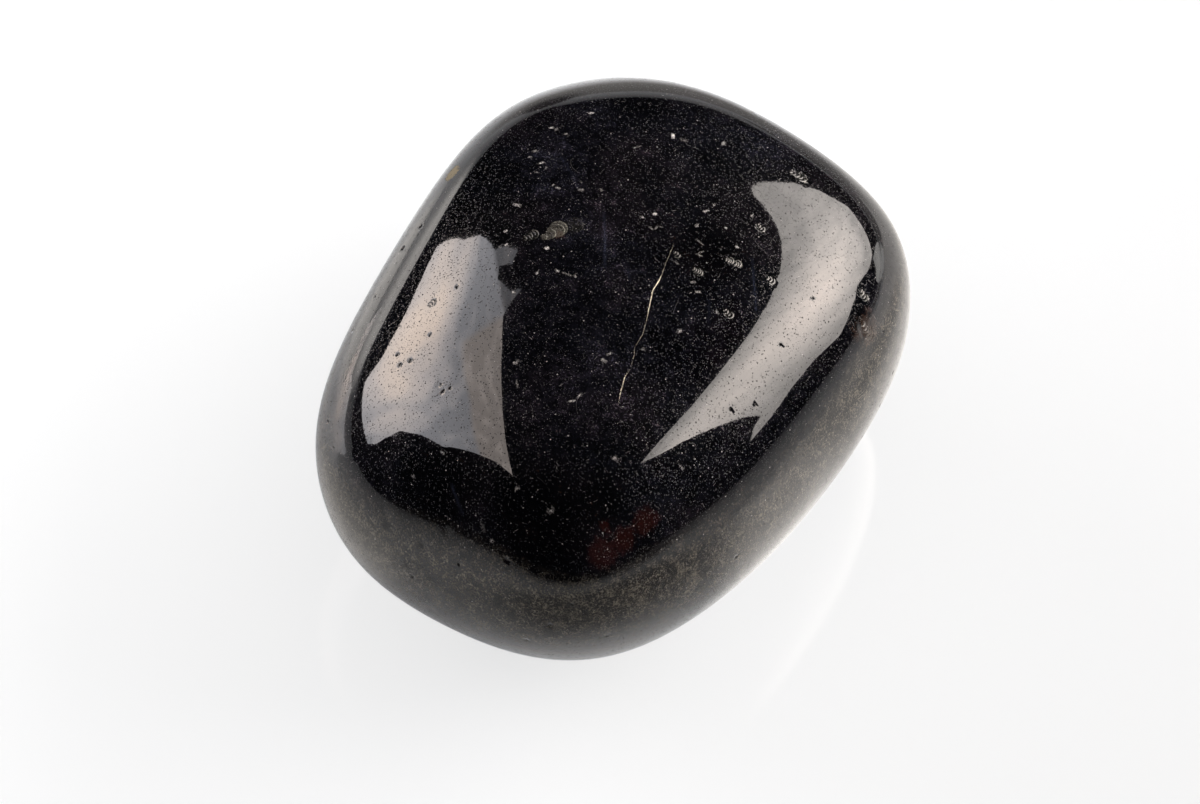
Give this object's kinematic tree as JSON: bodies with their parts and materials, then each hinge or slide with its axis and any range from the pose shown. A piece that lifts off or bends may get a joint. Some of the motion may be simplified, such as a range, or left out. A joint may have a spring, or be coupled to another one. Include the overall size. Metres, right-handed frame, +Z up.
{
  "type": "tumbled obsidian stone",
  "caption": "Polished, tumbled lump of black volcanic glass: a smooth rounded block with worn corners, resting on a flattened foot.",
  "frame": {"origin": "on the surface the stone stands on, under the middle of its box", "axes": "+Z up through the thin way of the stone, +Y along its longest side"},
  "size_m": [0.0316, 0.04, 0.0254],
  "materials": {
    "obsidian": "polished"
  },
  "bodies": {
    "root": {"obsidian_stone": "obsidian"}
  },
  "joints": []
}
